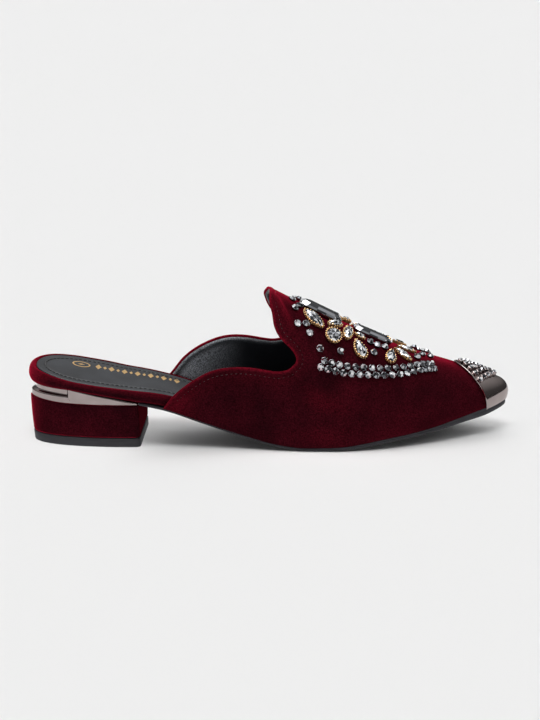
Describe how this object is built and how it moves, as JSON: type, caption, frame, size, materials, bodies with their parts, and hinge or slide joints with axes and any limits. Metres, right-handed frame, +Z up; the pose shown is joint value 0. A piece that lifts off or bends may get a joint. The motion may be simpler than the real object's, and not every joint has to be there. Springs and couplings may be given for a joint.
{
  "type": "heeled mule",
  "caption": "Right-foot pointed mule, open at the heel: velvet upper with a jewelled vamp and metal toe cap, leather-lined footbed, thin sole and low block heel.",
  "frame": {"origin": "middle of the shoe's length and width, on the floor it stands on", "axes": "+X from heel to toe, +Y to the inner side of the foot, +Z up"},
  "size_m": [0.2694, 0.0751, 0.0846],
  "materials": {
    "velvet": "short-pile velvet",
    "leather": "fine grained, satin",
    "rubber": "matte",
    "gunmetal": "polished gunmetal",
    "crystal": "foil-backed, faceted",
    "gilt_set_crystal": "foil-backed stone in a gilt setting"
  },
  "bodies": {
    "root": {"outsole": "rubber", "footbed": "velvet", "insole": "leather", "heel_tip": "rubber", "heel_block": "velvet", "heel_band": "gunmetal", "upper": "velvet", "toe_cap": "gunmetal", "toe_cap_stones": "crystal", "baguette_rear": "crystal", "baguette_front": "crystal", "marquise_ridge": "gilt_set_crystal", "stone_ridge_1": "crystal", "stone_ridge_2": "crystal", "stone_ridge_3": "crystal", "border_stones_lateral": "crystal", "marquise_rear_lateral": "gilt_set_crystal", "oval_small_lateral": "gilt_set_crystal", "round_large_lateral": "gilt_set_crystal", "oval_upright_lateral": "gilt_set_crystal", "pear_middle_lateral": "gilt_set_crystal", "pear_front_lateral": "gilt_set_crystal", "marquise_middle_lateral": "gilt_set_crystal", "marquise_low_lateral": "gilt_set_crystal", "stone_lateral_01": "crystal", "stone_lateral_02": "crystal", "stone_lateral_03": "crystal", "stone_lateral_04": "crystal", "stone_lateral_05": "crystal", "stone_lateral_06": "crystal", "stone_lateral_07": "crystal", "stone_lateral_08": "crystal", "stone_lateral_09": "crystal", "stone_lateral_10": "crystal", "stone_lateral_11": "crystal", "stone_lateral_12": "crystal", "border_stones_medial": "crystal", "marquise_rear_medial": "gilt_set_crystal", "oval_small_medial": "gilt_set_crystal", "round_large_medial": "gilt_set_crystal", "oval_upright_medial": "gilt_set_crystal", "pear_middle_medial": "gilt_set_crystal", "pear_front_medial": "gilt_set_crystal", "marquise_middle_medial": "gilt_set_crystal", "marquise_low_medial": "gilt_set_crystal", "stone_medial_01": "crystal", "stone_medial_02": "crystal", "stone_medial_03": "crystal", "stone_medial_04": "crystal", "stone_medial_05": "crystal", "stone_medial_06": "crystal", "stone_medial_07": "crystal", "stone_medial_08": "crystal", "stone_medial_09": "crystal", "stone_medial_10": "crystal", "stone_medial_11": "crystal", "stone_medial_12": "crystal"}
  },
  "joints": []
}
